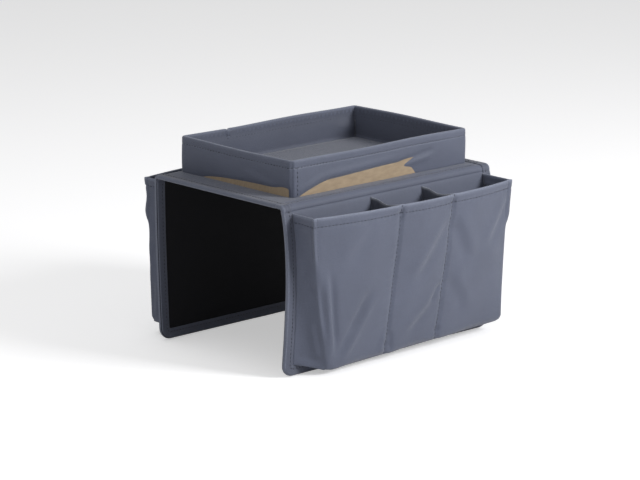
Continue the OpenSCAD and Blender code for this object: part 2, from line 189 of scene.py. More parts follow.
# %% [markdown]
# ## Cloth, tape, board and thread
# The cover is a tightly woven polyester with a satin face: fine threads both ways, thicker and thinner
# yarns, and a faint cloudiness. A picture of cloth would repeat, so waves and noise draw it instead. They
# read each piece's own UV map, in metres, and so follow the cloth round folds and over rims. Rims, folds
# and cut edges where light would catch get a painted highlight, and a vertex attribute says where.


# %% Material helpers
def add(tree, kind, **inputs):
    """A new node with some of its inputs set."""
    node = tree.nodes.new(kind)
    for key, value in inputs.items():
        node.inputs[key.replace("_", " ")].default_value = value
    return node


def maths(tree, kind, a, b):
    """One step of arithmetic on two sockets or numbers."""
    node = tree.nodes.new("ShaderNodeMath")
    node.operation = kind
    for socket, value in zip(node.inputs, (a, b)):
        if isinstance(value, (int, float)):
            socket.default_value = value
        else:
            tree.links.new(value, socket)
    return node.outputs[0]


def noise(tree, vector, scale, detail=2.0, stretch=(1, 1, 1)):
    """A noise texture, drawn out along an axis by its stretch."""
    mapping = add(tree, "ShaderNodeMapping", Scale=stretch)
    texture = add(tree, "ShaderNodeTexNoise", Scale=scale, Detail=detail)
    tree.links.new(vector, mapping.inputs["Vector"])
    tree.links.new(mapping.outputs[0], texture.inputs["Vector"])
    return texture.outputs["Fac"]


# %% Woven cloth
# A wave texture of scale 1 has a band in every 0.314 units
WAVE_BAND = 0.314
SLUB_SHARE = 0.16
CLOUD_SHARE = 0.30
WEAVE_SHARE = 0.16


def woven(name, colour, light, pitch=0.00055, rough=0.55, sheen=0.25, bump=0.35, grain=0.34):
    """Woven cloth: two sets of threads, slubs, grain, a cloudy tone and a painted highlight on lit edges."""
    material, tree, shader = new_material(name)
    link = tree.links.new
    shader.inputs["Sheen Weight"].default_value = sheen
    shader.inputs["Sheen Roughness"].default_value = 0.45
    shader.inputs["Specular IOR Level"].default_value = 0.35
    uv = tree.nodes.new("ShaderNodeUVMap")
    uv.uv_map = "cloth"
    vector = uv.outputs[0]
    threads = []
    for direction in ("X", "Y"):
        wave = add(tree, "ShaderNodeTexWave", Scale=WAVE_BAND / pitch, Distortion=0.6, Detail=1.0)
        wave.bands_direction = direction
        link(vector, wave.inputs["Vector"])
        threads.append(wave.outputs["Fac"])
    weave = maths(tree, "MULTIPLY", threads[0], threads[1])
    slub_a = noise(tree, vector, 60, 2, (1, 22, 1))
    slub_b = noise(tree, vector, 60, 2, (22, 1, 1))
    slubs = maths(tree, "ADD", slub_a, slub_b)
    speck = noise(tree, vector, 620, 3)
    cloud = noise(tree, vector, 14, 3)
    tone = maths(tree, "MULTIPLY", speck, grain)
    tone = maths(tree, "ADD", tone, maths(tree, "MULTIPLY", slubs, SLUB_SHARE))
    tone = maths(tree, "ADD", tone, maths(tree, "MULTIPLY", cloud, CLOUD_SHARE))
    tone = maths(tree, "ADD", tone, maths(tree, "MULTIPLY", weave, WEAVE_SHARE))
    tone = maths(tree, "ADD", tone, 1.0 - 0.5 * grain - SLUB_SHARE - CLOUD_SHARE / 2 - WEAVE_SHARE / 4)
    base = add(tree, "ShaderNodeMix")
    base.data_type = "RGBA"
    base.blend_type = "MULTIPLY"
    base.inputs[0].default_value = 1.0
    base.inputs[6].default_value = (*colour, 1)
    link(tone, base.inputs[7])
    # Painted highlight: a vertex attribute mixes the light tone in where edges, rims and folds catch the
    # light.
    painted_highlight = tree.nodes.new("ShaderNodeAttribute")
    painted_highlight.attribute_name = "painted_highlight"
    highlit = add(tree, "ShaderNodeMix")
    highlit.data_type = "RGBA"
    highlit.inputs[7].default_value = (*light, 1)
    link(maths(tree, "MULTIPLY", painted_highlight.outputs["Fac"], speck), highlit.inputs[0])
    link(base.outputs[2], highlit.inputs[6])
    link(highlit.outputs[2], shader.inputs["Base Color"])
    link(maths(tree, "ADD", maths(tree, "MULTIPLY", speck, 0.2), rough - 0.1),
         shader.inputs["Roughness"])
    height = maths(tree, "ADD", weave, maths(tree, "MULTIPLY", slubs, 0.6))
    height = maths(tree, "ADD", height, maths(tree, "MULTIPLY", speck, 0.8))
    relief = add(tree, "ShaderNodeBump", Strength=bump, Distance=0.0003)
    link(height, relief.inputs["Height"])
    link(relief.outputs[0], shader.inputs["Normal"])
    return material


# %% Board and thread
def two_tones(tree, shader, pattern, dark, light):
    """Colours a surface between two tones by a pattern."""
    ramp = tree.nodes.new("ShaderNodeValToRGB")
    ramp.color_ramp.elements[0].color = (*dark, 1)
    ramp.color_ramp.elements[1].color = (*light, 1)
    tree.links.new(pattern, ramp.inputs[0])
    tree.links.new(ramp.outputs[0], shader.inputs["Base Color"])


def pressed_board(name):
    """Brown stiffening board with pressed fibres."""
    material, tree, shader = new_material(name)
    place = tree.nodes.new("ShaderNodeTexCoord").outputs["Object"]
    fibres = noise(tree, place, 90, 6, (1, 9, 3))
    two_tones(tree, shader, fibres, (0.24, 0.18, 0.12), (0.44, 0.34, 0.23))
    relief = add(tree, "ShaderNodeBump", Strength=0.3, Distance=0.0004)
    tree.links.new(fibres, relief.inputs["Height"])
    tree.links.new(relief.outputs[0], shader.inputs["Normal"])
    shader.inputs["Roughness"].default_value = 0.85
    return material


def spun_thread(name, colour):
    """Sewing thread: a fine noise stands for its twist."""
    material, tree, shader = new_material(name)
    place = tree.nodes.new("ShaderNodeTexCoord").outputs["Object"]
    twist = noise(tree, place, 2600, 1)
    two_tones(tree, shader, twist, [0.5 * c for c in colour], [1.5 * c for c in colour])
    shader.inputs["Roughness"].default_value = 0.5
    return material


# %% The finishes of this object
# Each cloth's second colour is the tone of its painted highlight on lit edges, rims and folds.
COVER = (0.098, 0.111, 0.158)
COVER_HIGHLIGHT = (0.30, 0.33, 0.42)
cover_cloth = woven("slate_cover_cloth", COVER, COVER_HIGHLIGHT)
# The tray's lining is the cover cloth, painted darker as shade for the tray's inside.
tray_cloth_painted_shade = woven("slate_tray_lining_painted_shade", (0.080, 0.090, 0.128), COVER_HIGHLIGHT)
# A near-black lining, painted darker still as shade for the deep shadow inside the arch under saddle and
# flaps.
lining_cloth_painted_shade = woven("black_lining_painted_shade", (0.0035, 0.0035, 0.006), (0.02, 0.02, 0.03), sheen=0.0, rough=0.8)
# The divider's pale second tone is the painted highlight on its free top edge.
divider_cloth = woven("slate_divider_cloth", (0.055, 0.062, 0.088), (0.5, 0.53, 0.6))
binding_tape = woven("slate_binding_tape", (0.082, 0.092, 0.13), COVER_HIGHLIGHT, pitch=0.0011, bump=0.5)
board = pressed_board("stiffening_board")
thread = spun_thread("dark_thread", (0.012, 0.013, 0.02))
pale_thread = spun_thread("slate_thread", (0.13, 0.145, 0.19))
for node_name, node_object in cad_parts.items():
    if "board" in node_name:
        node_object.data.materials.clear()
        node_object.data.materials.append(board)
print("materials:", len(bpy.data.materials))

# %% [markdown]
# ## A cloth from the grid of its face
# A real cloth has thickness and a folded or cut edge. A Solidify modifier could give both, but the hems
# are twice as thick and the edge has to be round, so a helper does it. It starts from a grid of points on
# the outer face, in millimetres, and writes a UV map whose unit is the metre of cloth.

# %% Thicknesses and plain helpers
CLOTH = 0.8
TAPE = 0.6
TAPE_WIDTH = 12.0
PANEL = 4.0
TINY = 1e-9


def smooth(t):
    """A soft step from 0 to 1 as t goes from 0 to 1."""
    t = np.clip(t, 0, 1)
    return t * t * (3 - 2 * t)


def mix(a, b, t):
    """The value a part t of the way from a to b."""
    return a + (b - a) * t


def face_normals(grid, core, loop):
    """Unit normals of a grid, pointing away from the core at its first row."""
    across = np.roll(grid, -1, 1) - np.roll(grid, 1, 1) if loop else np.gradient(grid, axis=1)
    normal = np.cross(across, np.gradient(grid, axis=0))
    normal /= np.linalg.norm(normal, axis=2, keepdims=True) + TINY
    away = np.sum(normal[0] * (grid[0] - np.asarray(core, float)))
    return normal if away > 0 else -normal


def raised(grid, height, core, loop=False):
    """The grid moved out along its normals by a height, in millimetres."""
    return grid + face_normals(grid, core, loop) * np.asarray(height)[..., None]


# %% UV map and edges of a cloth
EDGE_ROUND = 0.4
# Painted highlight on the rounded cut edge of every cloth
EDGE_HIGHLIGHT = 0.7


def metres_of_cloth(grid, loop):
    """Each point's place on the cloth: metres along its row and down its column."""
    rows, cols = grid.shape[:2]
    along = np.linalg.norm(np.diff(grid, axis=1), axis=2)
    down = np.linalg.norm(np.diff(grid, axis=0), axis=2)
    if loop:
        closing = np.linalg.norm(grid[:, :1] - grid[:, -1:], axis=2)
        along = np.concatenate([along, closing], 1)
    u = np.concatenate([np.zeros((rows, 1)), np.cumsum(along, 1)], 1)
    v = np.concatenate([np.zeros((1, cols)), np.cumsum(down, 0)])
    v = v[:, np.arange(u.shape[1]) % cols]
    return np.stack([u, v], -1) * MM


def open_edges(index, loop):
    """The grid's open edges: the points on each, and the points just inside it."""
    if loop:
        return [(index[0, :-1], index[1, :-1]), (index[-1, :-1][::-1], index[-2, :-1][::-1])]
    inside = index.copy()
    inside[0], inside[-1] = index[1], index[-2]
    inside[1:-1, 0], inside[1:-1, -1] = index[1:-1, 1], index[1:-1, -2]
    sides = [(a[0, :-1], a[:-1, -1], a[-1, :0:-1], a[:0:-1, 0]) for a in (index, inside)]
    return [[np.concatenate(side) for side in sides]]


def rounded_edge(outer, inner, ring, within):
    """Points along a cut edge, pushed out a little so that the edge is round."""
    way_out = outer[ring] - outer[within]
    way_out /= np.linalg.norm(way_out, axis=1, keepdims=True) + TINY
    gap = np.linalg.norm(outer[ring] - inner[ring], axis=1, keepdims=True)
    return (outer[ring] + inner[ring]) / 2 + way_out * gap * EDGE_ROUND


# %% Closed cloth
def cloth_object(name, points, faces, face_uv, highlit):
    """A smooth mesh object that faces outwards, with its UV map and its painted highlight."""
    a, b, c, d = (points[faces[:, i]] for i in range(4))
    volume = np.sum(a * np.cross(b, c)) + np.sum(a * np.cross(c, d))
    if volume < 0:
        faces, face_uv = faces[:, ::-1], face_uv[:, ::-1]
    mesh = bpy.data.meshes.new(name)
    mesh.from_pydata(points.tolist(), [], faces.tolist())
    mesh.uv_layers.new(name="cloth").data.foreach_set("uv", face_uv.astype(np.float32).ravel())
    mesh.attributes.new("painted_highlight", "FLOAT", "POINT").data.foreach_set("value", highlit.astype(np.float32))
    mesh.polygons.foreach_set("use_smooth", np.ones(len(mesh.polygons), bool))
    mesh.update()
    return new_object(name, mesh)


def shell(name, grid, thick=CLOTH, core=(0, 0, -60), loop=False, painted_highlight=0.0):
    """A closed cloth with rounded edges from the grid of its outer face."""
    rows, cols = grid.shape[:2]
    count = rows * cols
    outer = grid.reshape(-1, 3)
    inner = grid - face_normals(grid, core, loop) * (np.ones((rows, cols)) * thick)[..., None]
    inner = inner.reshape(-1, 3)
    index = np.arange(count).reshape(rows, cols)
    if loop:
        index = np.concatenate([index, index[:, :1]], 1)
    uv = metres_of_cloth(grid, loop)
    corners = [(slice(None, -1), slice(None, -1)), (slice(None, -1), slice(1, None)),
               (slice(1, None), slice(1, None)), (slice(1, None), slice(None, -1))]
    faces = np.stack([index[c] for c in corners], -1).reshape(-1, 4)
    face_uv = np.stack([uv[c] for c in corners], -2).reshape(-1, 4, 2)
    points = [outer, inner]
    all_faces = [faces, faces[:, ::-1] + count]
    all_uv = [face_uv, face_uv[:, ::-1]]
    point_uv = uv[:, :cols].reshape(-1, 2)
    start = 2 * count
    for ring, within in open_edges(index, loop):
        points.append(rounded_edge(outer, inner, ring, within))
        here = start + np.arange(len(ring))
        after, ring_after = np.roll(here, -1), np.roll(ring, -1)
        all_faces.append(np.stack([ring_after, ring, here, after], -1))
        all_faces.append(np.stack([after, here, ring + count, ring_after + count], -1))
        edge_uv = [point_uv[ring_after], point_uv[ring], point_uv[ring], point_uv[ring_after]]
        all_uv += [np.stack(edge_uv, 1)] * 2
        start += len(ring)
    # Painted highlight: cut edges get the edge value, both faces the given one.
    highlit = np.full(start, EDGE_HIGHLIGHT)
    highlit[:count] = np.broadcast_to(painted_highlight, (rows, cols)).ravel()
    highlit[count:2 * count] = highlit[:count]
    return cloth_object(name, np.concatenate(points) * MM, np.concatenate(all_faces),
                        np.concatenate(all_uv), highlit)


SHORTEST_SHEET = 0.0101
LEAST_AREA = 0.31


def dress(piece, grid, material, body, nodes, bend=None, loop=False):
    """Gives a cloth its finish and its body, or bakes it in place if it has a bend, and prints its size."""
    piece.data.materials.append(material)
    if bend:
        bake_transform(piece)
    else:
        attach(piece, body)
    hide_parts(*nodes)
    if loop:
        grid = np.concatenate([grid, grid[:, :1]], 1)
    wide = np.linalg.norm(np.diff(grid, axis=1), axis=2).sum(1).max() * MM
    long = np.linalg.norm(np.diff(grid, axis=0), axis=2).sum(0).max() * MM
    wide, long = max(wide, SHORTEST_SHEET), max(long, SHORTEST_SHEET)
    side_a, side_b = grid[1:, 1:] - grid[:-1, :-1], grid[1:, :-1] - grid[:-1, 1:]
    area = np.linalg.norm(np.cross(side_a, side_b), axis=2).sum() / 2 * MM * MM
    area = min(max(area, LEAST_AREA * wide * long), wide * long)
    print(f"{piece.name}: {1000 * wide:.0f} x {1000 * long:.0f} mm, {len(piece.data.polygons)} faces")


# %% Folds, unevenness and stitched lines
FOLD_FADE = 0.3
WAVES = 6


def fold(a, b, start, end, width, depth, kind="ridge"):
    """Height of one soft fold along a line in a cloth's own flat coordinates."""
    way = np.subtract(end, start).astype(float)
    length = np.hypot(*way)
    way /= length
    along = ((a - start[0]) * way[0] + (b - start[1]) * way[1]) / length
    off = ((a - start[0]) * way[1] - (b - start[1]) * way[0]) / width
    fade = smooth(along / FOLD_FADE) * smooth((1 - along) / FOLD_FADE)
    shape = np.exp(-off * off) if kind == "ridge" else off * np.exp(0.5 - off * off) * 1.2
    return depth * fade * shape


def rumple(a, b, seed, size, height):
    """A gentle unevenness: a few waves in seeded random directions."""
    rng = np.random.default_rng(seed)
    total = 0
    for _ in range(WAVES):
        turn = rng.uniform(0, 2 * np.pi)
        phase = rng.uniform(0, 2 * np.pi)
        scale = rng.uniform(0.6, 1.5)
        total = total + np.sin((a * np.cos(turn) + b * np.sin(turn)) * 2 * np.pi / (size * scale) + phase)
    return height * total / WAVES


def bump_at(distance, width):
    """A bell of height 1 and the given width round distance 0."""
    return np.exp(-(distance / width) ** 2)


def groove(distance, depth=0.5, width=1.1):
    """A line of stitches pulls the cloth in."""
    return -depth * bump_at(distance, width)


# %% [markdown]
# ## One coordinate from saddle to foot
# On each side one length of cloth runs off the saddle, round the fold and down the flap. A point of it is
# (x, s, n): x along the arm, s down the cloth from the saddle's boarded edge, n out of its face. With that
# one path, cloth, tape and stitches need no separate formulas for flat top, round fold and bowed flap.

# %% The path of each side's cloth
HALF_LENGTH = 160.0
HALF_WIDTH = 108.0
TOP = 4.0
FOOT = -188.0
FLAP_TOP = -3.0
CORNER = 14.0
SIDES = {
    "near": {"sign": -1, "radius": 6.0, "setback": 12.0, "bow": 7.5, "lean": 0.0},
    "far": {"sign": 1, "radius": 5.0, "setback": 5.3, "bow": 1.5, "lean": -5.5},
}
for shape in SIDES.values():
    shape["flat"] = shape["setback"] - shape["radius"]
    shape["flap_s"] = shape["flat"] + shape["radius"] * np.pi / 2 + TOP - shape["radius"] - FLAP_TOP
    shape["foot_s"] = shape["flap_s"] + FLAP_TOP - FOOT


def curve_at(shape, z):
    """How far the flap's face stands out at a height: a bow and a lean."""
    t = np.clip((FLAP_TOP - z) / (FLAP_TOP - FOOT), 0, 1)
    return shape["bow"] * np.sin(np.pi * t ** 0.75) + shape["lean"] * t


def panel(shape, x, s, n=0.0):
    """Points on one side's path from the saddle, round the fold and down the flap."""
    x, s, n = np.broadcast_arrays(np.asarray(x, float), np.asarray(s, float), np.asarray(n, float))
    r = shape["radius"]
    turn = np.clip((s - shape["flat"]) / r, 0, np.pi / 2)
    out = HALF_WIDTH - shape["setback"] + np.minimum(s, shape["flat"]) + r * np.sin(turn)
    z = TOP - r * (1 - np.cos(turn)) - np.maximum(s - shape["flat"] - r * np.pi / 2, 0)
    out = out + curve_at(shape, z) + n * np.sin(turn)
    return np.stack([x, shape["sign"] * out, z + n * np.cos(turn)], -1)


def steps(start, stop, size):
    """Evenly spaced values from start to stop, at most about one size apart."""
    return np.linspace(start, stop, max(2, int(abs(stop - start) / size) + 1))


print("cloth from saddle to foot:", {side: round(shape["foot_s"], 1) for side, shape in SIDES.items()}, "mm")

# %% [markdown]
# ## Saddle, folds and flaps
# The boards end short of each fold, so the bare cloth there dips beside a sewn ridge. These sheets are
# stretched over boards and hardly move, so a simulation would bring nothing: they are modelled directly,
# a little uneven, and the lining is pressed up under the tapes.

# %% Cover and lining of the saddle
CLOTH_END = HALF_LENGTH - TAPE
NEAR_EDGE = -HALF_WIDTH + SIDES["near"]["setback"]
FAR_EDGE = HALF_WIDTH - SIDES["far"]["setback"]
GRID = 3
PRESS_START = 145
PRESS_RAMP = 3
y, x = np.meshgrid(steps(NEAR_EDGE, FAR_EDGE, GRID), steps(-CLOTH_END, CLOTH_END, GRID), indexing="ij")
lift = rumple(x, y, 3, 70, 0.25) + 0.25
lift = lift * smooth((HALF_LENGTH - 14 - abs(x)) / 20) * smooth((y - NEAR_EDGE) / 8)
grid = np.stack([x, y, TOP + lift], -1)
piece = shell("saddle_cover_cloth", grid)
dress(piece, grid, cover_cloth, "saddle", ["saddle_cover"])
press = TAPE * smooth((abs(x) - PRESS_START) / PRESS_RAMP)
grid = np.stack([x, y, press], -1)
piece = shell("saddle_lining_cloth", grid, core=(0, 0, 60))
dress(piece, grid, lining_cloth_painted_shade, "saddle", ["saddle_lining"])

# %% Cloth of a fold
FOLD_RIDGE = 0.55
FOLD_DIP = 0.7
FOLD_STITCH = 2.2
# Out from the middle and up, in metres
TURN_START = (0.0975, 0.004)
TURN_END = (0.108, -0.0025)


def bend_of(side, shape):
    """The flap's body, and where the fold starts and ends its turn, for a cloth that crosses the hinge."""
    start, end = ((0, shape["sign"] * out, up) for out, up in (TURN_START, TURN_END))
    return (f"{side}_flap", start, end)


def make_fold(side, shape):
    """Cover and lining of one fold."""
    x, s = np.meshgrid(steps(-CLOTH_END, CLOTH_END, 4), steps(0, shape["flap_s"], 0.9))
    ridge = FOLD_RIDGE * bump_at(s - 5.6, 1.5) - FOLD_DIP * bump_at(s - FOLD_STITCH, 1.1)
    if side == "far":
        ridge = ridge * 0.4
    inside = smooth((HALF_LENGTH - TAPE_WIDTH - 1 - abs(x)) / 6)
    grid = panel(shape, x, s, ridge * inside * smooth(s / 1.5))
    piece = shell(f"{side}_fold_cover_cloth", grid)
    bend = bend_of(side, shape)
    dress(piece, grid, cover_cloth, "saddle", [f"{side}_fold_cover"], bend=bend)
    grid = panel(shape, x, s, -PANEL)
    piece = shell(f"{side}_fold_lining_cloth", grid, core=(0, shape["sign"] * 130, 40))
    dress(piece, grid, lining_cloth_painted_shade, "saddle", [f"{side}_fold_lining"], bend=bend)


# %% Cloth of a flap
def flap_grid(shape, layer):
    """A flap's face with round lower corners, at a depth below its outer face."""
    round_start = shape["foot_s"] - CORNER
    radius = CORNER - TAPE
    s = np.concatenate([steps(shape["flap_s"], round_start, GRID),
                        round_start + radius * np.sin(np.linspace(0.12, np.pi / 2, 9))])
    near_foot = np.clip(s - round_start, 0, radius)
    edge = HALF_LENGTH - CORNER + np.sqrt(np.maximum(radius ** 2 - near_foot ** 2, 0))
    across = np.linspace(-1, 1, int(2 * HALF_LENGTH / GRID))
    x = across[None, :] * edge[:, None]
    s = np.broadcast_to(s[:, None], x.shape)
    return panel(shape, x, s, layer + rumple(x, s, 11, 80, 0.12))


def make_flap(side, shape):
    """Cover and lining of one flap, stretched over its board."""
    body = f"{side}_flap"
    grid = flap_grid(shape, 0.0)
    piece = shell(f"{side}_flap_cover_cloth", grid)
    dress(piece, grid, cover_cloth, body, [f"{side}_flap_cover"])
    grid = flap_grid(shape, -PANEL)
    piece = shell(f"{side}_flap_lining_cloth", grid, core=(0, shape["sign"] * 160, -60))
    dress(piece, grid, lining_cloth_painted_shade, body, [f"{side}_flap_lining"])


for side, shape in SIDES.items():
    make_fold(side, shape)
    make_flap(side, shape)

# %% [markdown]
# ## Binding tape
# One tape is folded over every raw edge. A curve with a bevel would be round all over, so its section is
# drawn as a U round the panel and swept along the edge. The round fold of the tape is what catches the
# light along the saddle's end and the flaps.

# %% Section of the tape
TAPE_STITCH = 8.3
TAPE_PULL = 0.22
TAPE_WAVE = 0.18


def tape_section():
    """(inward, out) points from the outer leg round the edge to the inner leg."""
    r = PANEL / 2 + TAPE
    turn = np.linspace(np.pi / 2, -np.pi / 2, 11)
    legs = np.array([TAPE_WIDTH, 10.5, 9.2, TAPE_STITCH, 7.4, 6.0, 4.5])
    outer = np.stack([legs, np.full(len(legs), TAPE)], -1)
    fold_line = np.stack([r - r * np.cos(turn), -PANEL / 2 + r * np.sin(turn)], -1)
    inner = np.stack([legs[::-1], np.full(len(legs), -PANEL - TAPE)], -1)
    return np.concatenate([outer, fold_line, inner])


def tape_grid(shape, edge, inward, phase):
    """The tape's outer skin: rows round its section and columns along the edge."""
    section = tape_section()
    t, n = section[:, :1], section[:, 1:]
    x = edge[None, :, 0] + t * inward[None, :, 0]
    s = edge[None, :, 1] + t * inward[None, :, 1]
    along = np.concatenate([[0], np.cumsum(np.hypot(*np.diff(edge, axis=0).T))])[None, :]
    pull = -TAPE_PULL * bump_at(t - TAPE_STITCH, 1.0)
    wavy = TAPE_WAVE * np.sin(along * 2 * np.pi / 9.5 + phase) * bump_at(t - 11, 2.5)
    return panel(shape, x, s, n + np.where(n > 0, pull + wavy + 0.1, 0.0))


# %% Edges that get a tape
def straight_edge(sign, s):
    """A panel's left or right end: its (x, s) points and the way in from each."""
    edge = np.stack([np.full(len(s), sign * HALF_LENGTH), s], -1)
    inward = np.stack([np.full(len(s), -sign), np.zeros(len(s))], -1)
    return edge, inward


def flap_edge(shape):
    """The flap's edge from its upper left corner round the foot to its upper right one."""
    r, straight = CORNER, HALF_LENGTH - CORNER
    s0, s1 = shape["flap_s"], shape["foot_s"] - CORNER
    down = steps(s0, s1, GRID)
    turn = np.linspace(0, np.pi / 2, 9)[1:-1]
    left = [(-HALF_LENGTH, s, 1, 0) for s in down]
    left += [(-straight - r * np.cos(a), s1 + r * np.sin(a), np.cos(a), -np.sin(a)) for a in turn]
    foot = [(x, shape["foot_s"], 0, -1) for x in steps(-straight, straight, GRID)]
    right = [(-x, s, -in_x, in_s) for x, s, in_x, in_s in reversed(left)]
    rows = np.array(left + foot + right)
    return rows[:, :2], rows[:, 2:]


# %% Tapes of the saddle's ends, the folds and the flaps
def make_tape(name, node, shape, edge, inward, phase, highlit, highlight_from, body, bend=None):
    """One folded tape, with a painted highlight where its fold stands outermost."""
    grid = tape_grid(shape, edge, inward, phase)
    if bend is None and body == "saddle":
        grid[..., 2] = np.maximum(grid[..., 2], 0.0)
    piece = shell(name, grid, TAPE, painted_highlight=highlit * (abs(grid[..., 0]) > highlight_from))
    dress(piece, grid, binding_tape, body, [node], bend=bend)


# Each tape gets a painted highlight along its outermost fold.
for end, sign in (("left", -1), ("right", 1)):
    edge, inward = straight_edge(sign, steps(0, NEAR_EDGE - FAR_EDGE, GRID))
    make_tape(f"saddle_tape_{end}", f"saddle_binding_{end}", SIDES["near"], edge, inward,
              phase=1.0, highlit=0.35, highlight_from=158, body="saddle")
    for side, shape in SIDES.items():
        edge, inward = straight_edge(sign, steps(0, shape["flap_s"], 1.0))
        make_tape(f"{side}_fold_tape_{end}_strip", f"{side}_fold_tape_{end}", shape, edge, inward,
                  phase=2.0, highlit=0.4, highlight_from=157, body="saddle", bend=bend_of(side, shape))
for side, shape in SIDES.items():
    edge, inward = flap_edge(shape)
    make_tape(f"{side}_flap_tape", f"{side}_flap_binding", shape, edge, inward,
              phase=4.0, highlit=0.5, highlight_from=157.5, body=f"{side}_flap")

# %% [markdown]
# ## Tray
# The wall's cloth climbs the outside, rounds the rim and ends in a hem inside. It could be four flat walls,
# but then the corners would need joining, so one section is swept round the whole tray. The near wall's
# cloth is loose: a fold rises from the near left corner, and the cloth below it tucks in.

# %% Ring of the tray
TRAY_LOW = (-126.4, -85.5)
TRAY_HIGH = (145.6, 102.5)
TRAY_MIDDLE = (9.6, 8.5, 10)
TRAY_CORNER = 6.0
TRAY_HEIGHT = 41.0
CORNER_POINTS = 8


def tray_ring(step=2.4):
    """Points and outward normals round the tray's outer face, from the near left corner."""
    (x0, y0), (x1, y1), r = TRAY_LOW, TRAY_HIGH, TRAY_CORNER
    centres = [(x0 + r, y0 + r, np.pi), (x1 - r, y0 + r, 1.5 * np.pi),
               (x1 - r, y1 - r, 0), (x0 + r, y1 - r, 0.5 * np.pi)]
    rows = []
    for i, (cx, cy, turn) in enumerate(centres):
        for a in np.linspace(turn, turn + np.pi / 2, CORNER_POINTS):
            rows.append((cx + r * np.cos(a), cy + r * np.sin(a), np.cos(a), np.sin(a)))
        last = rows[-1]
        nx, ny, _ = centres[(i + 1) % 4]
        nx, ny = nx + r * last[2], ny + r * last[3]
        for t in steps(0, 1, step / np.hypot(nx - last[0], ny - last[1]))[1:-1]:
            rows.append((mix(last[0], nx, t), mix(last[1], ny, t), last[2], last[3]))
    rows = np.array(rows)
    return rows[:, :2], rows[:, 2:]


# %% Section of the tray's wall
RIM = 2.4
RIM_STITCH = 8.5
STITCH_HEIGHT = TRAY_HEIGHT - RIM_STITCH


def wall_section():
    """(out, height) up the outside, over the rim and down the hem, with the rows where those start."""
    up = np.concatenate([steps(0, 30, 1.8), np.arange(30.8, 38.4, 0.6)])
    turn = np.linspace(0, np.pi, 10)
    down = np.concatenate([np.arange(38, 31, -0.6), np.arange(30.6, 27.9, -0.6)])
    rows = [(0, h) for h in up]
    rows += [(-RIM + RIM * np.cos(a), TRAY_HEIGHT - RIM + RIM * np.sin(a)) for a in turn]
    rows += [(-2 * RIM, h) for h in down]
    return np.array(rows), len(up), len(up) + len(turn)


# %% Loose cloth of the tray's walls
NEAR_TUCK = 4.2
LEFT_TUCK = 2.8
NOTCH_X = -58


def near_wall_folds(x, h):
    """Cloth tucked in low down, a crest above it and a second fold further right."""
    t = (x - TRAY_LOW[0]) / (TRAY_HIGH[0] - TRAY_LOW[0])
    line = 3 + 13 * smooth(t / 0.22) + 5 * smooth((t - 0.2) / 0.5)
    tucked = -NEAR_TUCK * smooth((line - h) / 8) * smooth(t / 0.1) * smooth((0.78 - t) / 0.3)
    crest = bump_at(h - line - 3, 4) * smooth(t / 0.1) * smooth((0.7 - t) / 0.3)
    return tucked + crest + fold(x, h, (30, 12), (95, 22), 4.0, 1.3, "step")


def left_wall_folds(y, h):
    """Cloth tucked in near the front, under one soft fold."""
    across = (y - TRAY_LOW[1]) / (TRAY_HIGH[1] - TRAY_LOW[1])
    low = smooth((14 - 10 * across - h) / 8)
    tucked = -LEFT_TUCK * low * smooth(across / 0.06) * smooth((0.95 - across) / 0.4)
    return tucked + fold(y, h, (-80, 6), (0, 24), 6, 0.7, "step")


def round_tray(ring, ring_out, reach, height):
    """Points that stand a reach outside the ring, at a height above the saddle's board."""
    x = ring[None, :, 0] + reach * ring_out[None, :, 0]
    y = ring[None, :, 1] + reach * ring_out[None, :, 1]
    return np.stack([x, y, TOP + height + 0 * x], -1)


# %% Outer cloth of the tray
WALL_BELLY = 0.35
RIM_PUCKER = 0.16
NOTCH_DEPTH = 2.6
CORNER_SEAM_DEPTH = 0.9
ring, ring_out = tray_ring()
section, rim_row, hem_row = wall_section()
out, h = section[:, :1], section[:, 1:]
x, y = ring[None, :, 0] + 0 * out, ring[None, :, 1] + 0 * out
faces_near = np.clip(-ring_out[:, 1], 0, 1)[None, :] ** 4
faces_left = np.clip(-ring_out[:, 0], 0, 1)[None, :] ** 4
faces_far = np.clip(ring_out[:, 1], 0, 1)[None, :] ** 4
outer_face = out > -0.5
push = faces_near * near_wall_folds(x, h)
push = push + faces_left * left_wall_folds(y, h)
push = push + WALL_BELLY * np.sin(np.pi * np.clip(h / 38, 0, 1))
push = push + rumple(x + y, h, 21, 60, 0.35) * smooth(h / 8)
along = np.concatenate([[0], np.cumsum(np.hypot(*np.diff(ring, axis=0).T))])[None, :]
from_stitch = h - STITCH_HEIGHT
pucker = RIM_PUCKER * np.sin(along * 2 * np.pi / 6.4) * bump_at(from_stitch, 2.5)
seam = groove(from_stitch, 0.55, 0.9) + pucker
push = push * (outer_face * smooth((TRAY_HEIGHT - h) / 6)) + seam * np.where(outer_face, 1.0, -1.0)
notch = NOTCH_DEPTH * bump_at(x - NOTCH_X, 1.8) - 0.9 * bump_at(x - NOTCH_X - 4, 2.2)
push = push - faces_far * notch * smooth((h - 27) / 8)
corner_seam = np.exp(-((x - TRAY_LOW[0] - 2.0) ** 2 + (y - TRAY_LOW[1] - 2.0) ** 2) / 2.2)
push = push - CORNER_SEAM_DEPTH * corner_seam * outer_face
tray_grid = round_tray(ring, ring_out, out + push, h)
drop = 0.5 * np.sin(along / along.max() * 2 * np.pi * 5 + 1) * smooth((h - 20) / 20)
tray_grid[..., 2] += drop - 1.2 * faces_far * bump_at(x - NOTCH_X, 1.8) * smooth((h - 34) / 6)
# Painted highlight along the top of the rim, and a fainter one along the stitched line.
painted_highlight = 0.85 * bump_at(out + RIM, 1.6) * (h > 38) + 0.25 * (abs(from_stitch) < 0.8)
piece = shell("tray_cover_cloth", tray_grid, core=TRAY_MIDDLE, loop=True, painted_highlight=painted_highlight)
dress(piece, tray_grid, cover_cloth, "saddle", ["tray_wall_cover"],
      loop=True)

